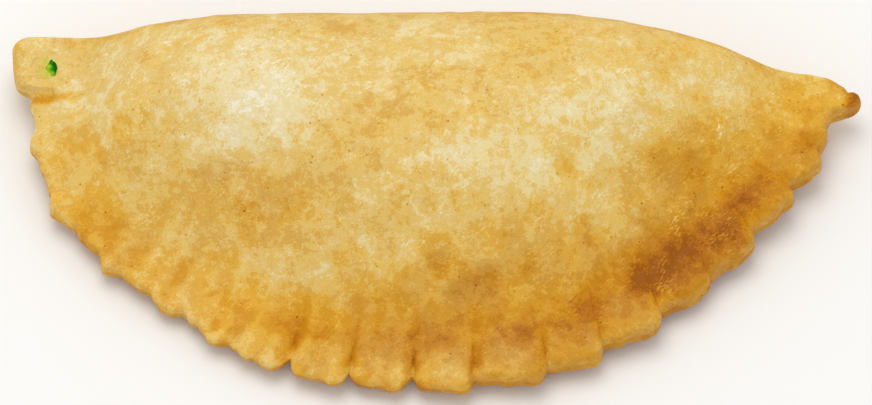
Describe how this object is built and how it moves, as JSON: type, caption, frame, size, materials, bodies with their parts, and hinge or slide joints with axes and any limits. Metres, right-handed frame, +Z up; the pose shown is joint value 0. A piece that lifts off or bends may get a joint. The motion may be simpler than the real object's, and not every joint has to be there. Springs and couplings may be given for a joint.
{
  "type": "empanada",
  "caption": "Half-moon fried pastry, folded along its straight side and crimped round its curved side, with a square dough tab and a pinched tip at its ends.",
  "frame": {"origin": "under the middle of the pastry's box, on the surface that it rests on", "axes": "+X from the dough tab to the pinched tip, +Y from the crimped rim to the fold, +Z up"},
  "size_m": [0.15, 0.0694, 0.0321],
  "materials": {
    "fried_dough": "fried wheat dough, golden yellow with browned patches, fine blisters and a faint oily sheen"
  },
  "bodies": {
    "root": {"empanada": "fried_dough"}
  },
  "joints": []
}
